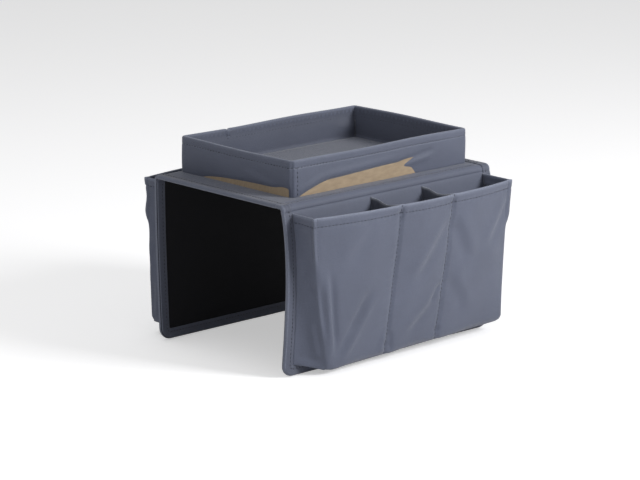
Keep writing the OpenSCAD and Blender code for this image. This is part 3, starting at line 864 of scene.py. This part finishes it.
# %% Lining of the tray's walls
# A core far outside makes the lining's face look into the tray
OUTSIDE_TRAY = (400, 400, 10)
LINING_IN = -3.2 - CLOTH
LINING_FOOT = 6
h = np.concatenate([steps(37.5, LINING_FOOT, 2.0), [4.8, 4.0, 3.5, 3.3]])[:, None]
lean_in = np.where(h < LINING_FOOT, (LINING_FOOT - h) * 0.5, 0)
x, y = ring[None, :, 0] + 0 * h, ring[None, :, 1] + 0 * h
pull = 3.0 * np.exp(-((x - TRAY_HIGH[0] + 16) ** 2 / 260 + (y - TRAY_HIGH[1]) ** 2 / 60))
pull = pull * smooth((30 - h) / 14)
slack = pull + 0.9 * np.sin(np.pi * np.clip(h / 34, 0, 1)) + rumple(x - y, h, 5, 55, 0.3)
reach = LINING_IN - lean_in - slack * smooth((36 - h) / 8)
grid = round_tray(ring, ring_out, reach, h)
piece = shell("tray_lining_walls", grid, core=OUTSIDE_TRAY, loop=True)
dress(piece, grid, tray_cloth_painted_shade, "saddle", ["tray_lining"],
      loop=True)

# %% Lining of the tray's floor
FLOOR_INSET = 4.6
FLOOR_TOP = 3.3
fx = steps(TRAY_LOW[0] + FLOOR_INSET, TRAY_HIGH[0] - FLOOR_INSET, GRID)
fy = steps(TRAY_LOW[1] + FLOOR_INSET, TRAY_HIGH[1] - FLOOR_INSET, GRID)
fx, fy = np.meshgrid(fx, fy)
edge_gap = np.minimum(np.minimum(fx - fx.min(), fx.max() - fx), np.minimum(fy - fy.min(), fy.max() - fy))
crown = 1.7 * smooth(edge_gap / 9) + rumple(fx, fy, 8, 60, 0.3) * smooth(edge_gap / 12)
grid = np.stack([fx, fy, TOP + FLOOR_TOP + crown], -1)
piece = shell("tray_lining_floor", grid)
dress(piece, grid, tray_cloth_painted_shade, "saddle", ["tray_lining"])

# %% [markdown]
# ## Pocket bags
# A bag is one cloth with a gusset at each end, sewn to the flap at the gussets' roots and at the foot. Its
# cloth hangs, so a simulation could shape it, but the photograph's own folds would not come out of one.
# They are placed one by one on a grid. A place on it is (p, v): p runs along the bag from root to corner,
# divider, divider, corner and root, and v runs from the rim to the foot and on to the seam.

# %% The form of a bag
ROOT_X = 147.8
RIM_Z = -5.5
SEAM_Z = -175.6
BAG_HEIGHT = RIM_Z - SEAM_Z
HEM_V = 14 / BAG_HEIGHT
SEAM_INSET = 9
SEAM_RISE = 0.3
ROW_V = 0.0105
BAGS = {
    "near": {"left": 36, "middle": 54, "right": 45, "foot": 25, "left_foot": 3, "right_foot": 12,
             "left_lean": 34, "right_lean": 10, "dividers": (-30, 49), "puff": 3.0, "wave": 0.0},
    "far": {"left": 30, "middle": 42, "right": 30, "foot": 28, "left_foot": 14, "right_foot": 14,
            "left_lean": 3, "right_lean": -3, "dividers": (-49, 49), "puff": 1.4, "wave": 1.9},
}


def bag_front(bag, p, v):
    """x, depth and z on the bag's front."""
    d1, d2 = bag["dividers"]
    left = -ROOT_X + bag["left_lean"] * v ** 1.6
    right = ROOT_X + bag["right_lean"] * v ** 1.6
    k = np.clip(np.floor(p), 0, 2).astype(int)
    f = p - k
    x = mix(np.choose(k, [left, d1 + 0 * v, d2 + 0 * v]), np.choose(k, [d1 + 0 * v, d2 + 0 * v, right]), f)
    t = x / ROOT_X
    mouth = bag["middle"] + (bag["right"] - bag["left"]) / 2 * t
    mouth = mouth + ((bag["right"] + bag["left"]) / 2 - bag["middle"]) * t * t
    swell = np.sin(np.pi * f) * bag["puff"] * (np.sin(np.pi * v ** 0.8) + 0.35 * (1 - v))
    wave = bag["wave"] * (np.cos(8 * np.pi * v) - 1) * np.maximum(1 - 1.4 * v, 0) * ((p == 0) | (p == 3))
    foot_z = FOOT + mix(bag["left_foot"], bag["right_foot"], (x + ROOT_X) / (2 * ROOT_X))
    return np.stack([x, mix(mouth, bag["foot"], v) + swell + wave, mix(RIM_Z, foot_z, v)], -1)


# %% Grid of a bag
def bag_grid(bag, shape):
    """The bag's outer face as (rows, columns, 3), with its places p and v."""
    gusset = np.linspace(0, 1, 19)[:-1]
    p = np.concatenate([gusset - 1, np.linspace(0, 3, 145), 4 - gusset[::-1]])
    v = np.concatenate([steps(0, HEM_V, 0.009), steps(HEM_V + 0.009, 1, ROW_V), 1 + steps(0.1, 1, 0.1)])
    p, v = np.meshgrid(p, v)
    down = np.minimum(v, 1)
    front = bag_front(bag, np.clip(p, 0, 3), down)
    side = np.where(p < 1.5, -1, 1)
    s = np.clip(np.where(p < 0, p + 1, np.where(p > 3, 4 - p, 1)), 0, 1)
    root_z = mix(RIM_Z, SEAM_Z + 3, down)
    root = np.stack([side * ROOT_X, curve_at(shape, root_z) + SEAM_RISE, root_z], -1)
    wall = mix(root, front, s[..., None])
    left_seam = -ROOT_X + SEAM_INSET
    k = np.clip(np.floor(np.clip(p, 0, 3)), 0, 2).astype(int)
    d1, d2 = bag["dividers"]
    seam_x = np.choose(k, [mix(left_seam, d1, p), mix(d1, d2, p - 1), mix(d2, -left_seam, p - 2)])
    seam_x = np.where(p < 0, mix(-ROOT_X, left_seam, p + 1), seam_x)
    seam_x = np.where(p > 3, mix(-left_seam, ROOT_X, p - 3), seam_x)
    seam = np.stack([seam_x, curve_at(shape, SEAM_Z) + SEAM_RISE + 0 * p, SEAM_Z + 0 * p], -1)
    under = np.clip(v - 1, 0, 1)[..., None]
    return mix(wall, seam, under), p, v


def eased(grid, rounds, mask):
    """Rounds sharp folds of the cloth by averaging neighbours where the mask says so."""
    for _ in range(rounds):
        mean = grid.copy()
        mean[1:-1, 1:-1] = (grid[:-2, 1:-1] + grid[2:, 1:-1] + grid[1:-1, :-2] + grid[1:-1, 2:]) / 4
        grid = mix(grid, mean, mask[..., None] * 0.6)
    return grid


# %% Folds of each bag
# Each fold is (start, end, width, depth, kind) with x along the arm and z up, in millimetres
FOLDS = {
    "near": [
        ((-128, -60), (-108, -172), 5, 2.6, "step"), ((-138, -75), (-122, -150), 4, -1.6, "ridge"),
        ((-104, -178), (-58, -96), 7, 1.9, "step"), ((-90, -150), (-60, -90), 9, -1.2, "ridge"),
        ((-28, -150), (-22, -182), 4, -1.8, "ridge"), ((-34, -150), (-40, -182), 5, 1.2, "ridge"),
        ((47, -24), (-6, -104), 10, 1.5, "step"), ((45, -108), (30, -132), 4, -1.9, "ridge"),
        ((40, -118), (-4, -164), 9, 1.3, "step"), ((52, -24), (92, -92), 11, -1.7, "step"),
        ((56, -96), (96, -150), 10, -1.2, "step"), ((146, -20), (110, -80), 9, 1.3, "step"),
        ((120, -60), (140, -150), 12, 0.9, "ridge"), ((-70, -16), (-110, -66), 12, 0.9, "step"),
    ],
    "far": [((-45, -30), (-110, -120), 10, 1.3, "step"), ((46, -30), (120, -140), 11, 1.4, "step")],
}
RUMPLE_SEED = {"near": 31, "far": 47}
POCKET_STITCH = 9.5
POCKET_WIDTH = 80
GUSSET_WIDTH = 36
RIDGE_END = 0.28


def front_relief(side, x, z, p, v):
    """Folds of the bag's front, and the dips along the dividers' seams."""
    front = smooth((p + 0.02) / 0.06) * smooth((3.02 - p) / 0.06) * (v <= 1)
    down = np.minimum(v, 1)
    ends = smooth(down / 0.08) * smooth((1 - down) / 0.05)
    lift = rumple(x, z, RUMPLE_SEED[side], 58, 0.7) * ends
    for start, end, width, depth, kind in FOLDS[side]:
        lift = lift + fold(x, z, start, end, width, depth, kind) * ends
    for divider in (1, 2):
        across = (p - divider) * POCKET_WIDTH
        tack = 1 + 0.9 * bump_at(v - 0.07, 0.03) + 0.9 * bump_at(v - 0.93, 0.03)
        lift = lift + groove(across, 1.5, 2.6) * tack + 0.25 * np.sin(v * 100) * bump_at(across, 6)
    return lift * front


def hem_relief(x, p, v):
    """The stitched line under the rim, with its puckers."""
    below = (v - POCKET_STITCH / BAG_HEIGHT) * BAG_HEIGHT
    puckers = 0.2 * np.sin(x * 2 * np.pi / 8.5) * bump_at(below, 3)
    return (groove(below, 0.7, 1.2) + puckers) * (v <= 1) * np.clip(np.minimum(p + 1, 4 - p) * 4, 0, 1)


def corner_ridge(corner, p, v):
    """A corner's pinched ridge below the rim, and the dips on both sides of it."""
    across = (p - corner) * np.where((p > 0) & (p < 3), 90, 38)
    upper = smooth((0.30 - v) / 0.08)
    return 1.6 * (bump_at(across, 1.5) * upper), groove(abs(across) - 3.6, 0.6, 1.3) * upper


def gusset_relief(z, p, v):
    """A gusset sags between its root and its corner and has two small folds."""
    down = np.minimum(v, 1)
    s = np.where(p < 0, p + 1, 4 - p)
    place = s * GUSSET_WIDTH
    belly = np.sin(np.pi * np.clip(s, 0, 1))
    sag = -2.2 * belly * smooth(down / 0.15) + rumple(place, z, 9, 34, 0.8) * belly
    sag = sag + fold(place, z, (8, -70), (30, -92), 4, -1.4, "ridge")
    sag = sag + fold(place, z, (20, -120), (26, -175), 4, 1.3, "ridge")
    gusset = (p < 0) | (p > 3)
    return np.where(gusset & (v <= 1), sag, 0) * smooth((1 - down) / 0.06)


def bag_relief(side, grid, p, v):
    """How far folds, seams, hem, corner ridges and sagging gussets lift the cloth."""
    x, z = grid[..., 0], grid[..., 2]
    lift = front_relief(side, x, z, p, v) + hem_relief(x, p, v)
    for corner in (0, 3):
        pinch, beside = corner_ridge(corner, p, v)
        lift = lift + pinch + beside
    return lift + gusset_relief(z, p, v)


# %% Two bags
EASE_ROUNDS = 26
FOOT_DROOP = 1.3


def soft_edges(p, v):
    """1 where the cloth turns softly: along the foot, and down each corner below its ridge."""
    below_ridge = smooth((v - RIDGE_END) / 0.08)
    mask = bump_at(v - 1, 0.02) + bump_at(p, 0.03) * below_ridge
    mask = mask + bump_at(p - 3, 0.03) * below_ridge
    return np.clip(mask, 0, 1)


def bag_core(side):
    """A point inside the bag, for telling outwards from inwards."""
    return (0, SIDES[side]["sign"] * 118, -80)


for side, bag in BAGS.items():
    shape = SIDES[side]
    grid, p, v = bag_grid(bag, shape)
    grid = np.stack([grid[..., 0], shape["sign"] * (HALF_WIDTH + grid[..., 1]), grid[..., 2]], -1)
    grid = eased(grid, EASE_ROUNDS, soft_edges(p, v))
    droop = FOOT_DROOP * np.sin(p * np.pi * 2.0 + 0.8) * smooth((v - 0.8) / 0.2) * (v <= 1.001)
    droop = droop * smooth((p + 0.5) / 0.5)
    grid[..., 2] -= np.where(v > 1, 0, droop) * smooth((3.5 - p) / 0.5)
    grid = raised(grid, bag_relief(side, grid, p, v), bag_core(side))
    grid[:, 0, 0], grid[:, -1, 0] = -ROOT_X, ROOT_X
    thick = np.where(v < HEM_V, 2 * CLOTH, CLOTH)
    # Painted highlight along the bag's rim and down the upper part of its left corner ridge.
    painted_highlight = 0.75 * bump_at(v, 0.012) + 0.4 * bump_at(p, 0.012) * smooth((0.34 - v) / 0.1)
    piece = shell(f"{side}_pocket_cloth", grid, thick, core=bag_core(side), painted_highlight=painted_highlight)
    dress(piece, grid, cover_cloth, f"{side}_flap", [f"{side}_pocket"])
    bag["grid"], bag["p"], bag["v"] = grid, p, v

# %% [markdown]
# ## Dividers
# A divider is a soft cloth from the flap to the bag's front. It could be a plain strip, but its free top
# edge sags, sways and shows pale with a painted highlight, and that edge is what the eye sees in the bag's
# mouth.

# %% A divider's cloth
DIVIDER_FOOT = 0.9
FRONT_GAP = 1.9
DIVIDER_SWAY = 2.4
DIVIDER_SAG = 3.2


def divider_grid(bag, shape, number):
    """Rows down the divider and columns from the flap to the bag's front."""
    rows = bag["v"][:, 0] <= DIVIDER_FOOT
    column = int(np.argmin(abs(bag["p"][0] - number)))
    front = bag["grid"][rows, column]
    z = front[:, 2:]
    f = np.linspace(0, 1, 22)[None, :]
    inner_y = shape["sign"] * (HALF_WIDTH + curve_at(shape, z) + SEAM_RISE)
    y = mix(inner_y, front[:, 1:2] - FRONT_GAP * shape["sign"], f)
    hang = np.exp((z - RIM_Z) / 30)
    sway = DIVIDER_SWAY * np.sin(2 * np.pi * f ** 0.8) * hang
    x = bag["dividers"][number - 1] + sway + rumple(y, z, 60 + number, 40, 0.6) * np.sin(np.pi * f)
    return np.stack([x, y, z - DIVIDER_SAG * np.sin(np.pi * f ** 1.2) * hang + 0 * x], -1), z


for side, bag in BAGS.items():
    for number, name in ((1, "left"), (2, "right")):
        grid, z = divider_grid(bag, SIDES[side], number)
        beside = (bag["dividers"][number - 1] - 40, 0, -60)
        # Painted highlight along the divider's free top edge.
        piece = shell(f"{side}_divider_{name}_cloth", grid, core=beside, painted_highlight=bump_at(RIM_Z - z, 1.8))
        dress(piece, grid, divider_cloth, f"{side}_flap", [f"{side}_divider_{name}"])

# %% [markdown]
# ## Stitches
# Every seam shows as a row of short thread dashes. Placing them one by one would need a list of places, so
# a Geometry Nodes tree does it: it lays one small bead of thread per pitch along each seam's path, turned
# along it, and the count follows from the seam's length. The beads of a seam become one plain mesh.


# %% Tree of the stitches
def stitch_tree():
    """Beads of thread along a path, with their pitch, length, width and material as inputs."""
    tree = bpy.data.node_groups.new("stitches_along_seams", "GeometryNodeTree")
    face = tree.interface
    face.new_socket("Geometry", in_out="INPUT", socket_type="NodeSocketGeometry")
    for name, value in (("Pitch", 0.0042), ("Stitch Length", 0.0028), ("Thread Width", 0.0006)):
        face.new_socket(name, in_out="INPUT", socket_type="NodeSocketFloat").default_value = value
    face.new_socket("Thread", in_out="INPUT", socket_type="NodeSocketMaterial")
    face.new_socket("Geometry", in_out="OUTPUT", socket_type="NodeSocketGeometry")
    new = tree.nodes.new
    given, made = new("NodeGroupInput"), new("NodeGroupOutput")
    curve = new("GeometryNodeMeshToCurve")
    spaced = new("GeometryNodeResampleCurve")
    spaced.mode = "LENGTH"
    tangent = new("GeometryNodeInputTangent")
    turn = new("FunctionNodeAlignRotationToVector")
    turn.axis = "X"
    bead = new("GeometryNodeMeshUVSphere")
    bead.inputs["Segments"].default_value = 6
    bead.inputs["Rings"].default_value = 5
    bead.inputs["Radius"].default_value = 0.5
    size = new("ShaderNodeCombineXYZ")
    shaped = new("GeometryNodeTransform")
    vary = new("FunctionNodeRandomValue")
    vary.data_type = "FLOAT"
    vary.inputs[2].default_value = 0.8
    vary.inputs[3].default_value = 1.12
    vary.inputs["Seed"].default_value = 7
    placed = new("GeometryNodeInstanceOnPoints")
    real = new("GeometryNodeRealizeInstances")
    finish = new("GeometryNodeSetMaterial")
    wire(tree, (given, "Geometry", curve, "Mesh"), (curve, "Curve", spaced, "Curve"),
         (given, "Pitch", spaced, "Length"), (tangent, 0, turn, "Vector"),
         (given, "Stitch Length", size, "X"), (given, "Thread Width", size, "Y"),
         (given, "Thread Width", size, "Z"), (bead, "Mesh", shaped, "Geometry"),
         (size, 0, shaped, "Scale"), (spaced, "Curve", placed, "Points"),
         (shaped, "Geometry", placed, "Instance"), (turn, 0, placed, "Rotation"),
         (vary, 1, placed, "Scale"), (placed, "Instances", real, "Geometry"),
         (real, "Geometry", finish, "Geometry"), (given, "Thread", finish, "Material"),
         (finish, "Geometry", made, "Geometry"))
    return tree


stitches = stitch_tree()
socket = {item.name: item.identifier for item in stitches.interface.items_tree if item.in_out == "INPUT"}

print("inputs of the stitches:", sorted(socket))


# %% Sew a seam
def sew(name, rows, body, material, pitch, length, width, bend=None):
    """Lays stitches along rows of points, in millimetres, and makes them one plain mesh."""
    points, edges = [], []
    for row in rows:
        first = len(points)
        points += (np.asarray(row) * MM).tolist()
        edges += [(i, i + 1) for i in range(first, len(points) - 1)]
    line = bpy.data.meshes.new(name + "_path")
    line.from_pydata(points, edges, [])
    path_object = new_object(name + "_path", line)
    modifier = path_object.modifiers.new("stitches", "NODES")
    modifier.node_group = stitches
    modifier[socket["Pitch"]] = pitch * MM
    modifier[socket["Stitch Length"]] = length * MM
    modifier[socket["Thread Width"]] = width * MM
    modifier[socket["Thread"]] = material
    evaluated = path_object.evaluated_get(bpy.context.evaluated_depsgraph_get())
    mesh = bpy.data.meshes.new_from_object(evaluated)
    path_object.modifiers.remove(modifier)
    bpy.data.objects.remove(path_object)
    mesh.polygons.foreach_set("use_smooth", np.ones(len(mesh.polygons), bool))
    if not mesh.materials or mesh.materials[0] is None:
        mesh.materials.clear()
        mesh.materials.append(material)
    sewn = new_object(name, mesh)
    if bend:
        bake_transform(sewn)
    else:
        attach(sewn, body)
    print(f"{name}: {len(mesh.polygons)} faces")


# %% Sew the tray
TRAY_SEAM = {"pitch": 4.6, "length": 3.0, "width": 0.75}
ON_TOP = 0.12
TURNED_IN = 3
in_section = np.arange(len(section))
from_stitch = abs(section[:, 1] - STITCH_HEIGHT)
outer_row = int(np.argmin(np.where(in_section < rim_row, from_stitch, TRAY_HEIGHT)))
inner_row = int(np.argmin(np.where(in_section >= hem_row, from_stitch, TRAY_HEIGHT)))
closed = np.arange(tray_grid.shape[1] + 1) % tray_grid.shape[1]
lifted = raised(tray_grid, np.full(tray_grid.shape[:2], ON_TOP), TRAY_MIDDLE, loop=True)
rows = [lifted[row][closed] for row in (outer_row, inner_row, len(section) - TURNED_IN)]
rows.append(lifted[2:outer_row, CORNER_POINTS])
sew("tray_stitches", rows, "saddle", thread, **TRAY_SEAM)

# %% Sew the tapes and folds
TAPE_SEAM = {"pitch": 4.4, "length": 2.8, "width": 0.7}
ON_SADDLE_TAPE = 0.62
ON_FOLD = {"near": -0.25, "far": 0.1}


def tape_row(shape, edge, inward, n):
    """The tape's seam, at a height above the panel's outer face."""
    return panel(shape, edge[:, 0] + TAPE_STITCH * inward[:, 0], edge[:, 1] + TAPE_STITCH * inward[:, 1], n)


span = steps(NEAR_EDGE + 1, FAR_EDGE - 1, GRID)
seam_height = np.full(len(span), TOP + ON_SADDLE_TAPE)
rows = [np.stack([np.full(len(span), sign * (HALF_LENGTH - TAPE_STITCH)), span, seam_height], -1)
        for sign in (-1, 1)]
sew("saddle_tape_stitches", rows, "saddle", thread, **TAPE_SEAM)
for side, shape in SIDES.items():
    wide = steps(-HALF_LENGTH + 13, HALF_LENGTH - 13, GRID)
    row = panel(shape, wide, FOLD_STITCH, ON_FOLD[side])
    sew(f"{side}_fold_stitches", [row], "saddle", thread, **TAPE_SEAM, bend=bend_of(side, shape))
    edge, inward = flap_edge(shape)
    rows = [tape_row(shape, edge, inward, TAPE + 0.1), tape_row(shape, edge, inward, -PANEL - TAPE - 0.05)]
    sew(f"{side}_flap_tape_stitches", rows, f"{side}_flap", thread, **TAPE_SEAM)

# %% Sew the bags
BAG_SEAM = {"pitch": 4.6, "length": 3.2, "width": 0.7}
CORNER_SEAM = {"pitch": 3.6, "length": 2.4, "width": 0.6}
ON_BAG = 0.15
BESIDE_RIDGE = 2
for side, bag in BAGS.items():
    grid, p, v = bag["grid"], bag["p"], bag["v"]
    lifted = raised(grid, np.full(p.shape, ON_BAG), bag_core(side))
    hem_stitch = int(np.argmin(abs(v[:, 0] - POCKET_STITCH / BAG_HEIGHT)))
    foot_row = int(np.argmin(abs(v[:, 0] - 1)))
    corner_a, divider_a, divider_b, corner_b = (int(np.argmin(abs(p[0] - place))) for place in range(4))
    seams = [lifted[hem_stitch, 2:-2], lifted[1:foot_row, divider_a], lifted[1:foot_row, divider_b]]
    sew(f"{side}_pocket_stitches", seams, f"{side}_flap", thread, **BAG_SEAM)
    ridge_rows = slice(1, int(RIDGE_END / ROW_V))
    beside = (corner_a + BESIDE_RIDGE, corner_a - BESIDE_RIDGE,
              corner_b - BESIDE_RIDGE, corner_b + BESIDE_RIDGE)
    corners = [lifted[ridge_rows, column] for column in beside]
    sew(f"{side}_corner_stitches", corners, f"{side}_flap", pale_thread, **CORNER_SEAM)
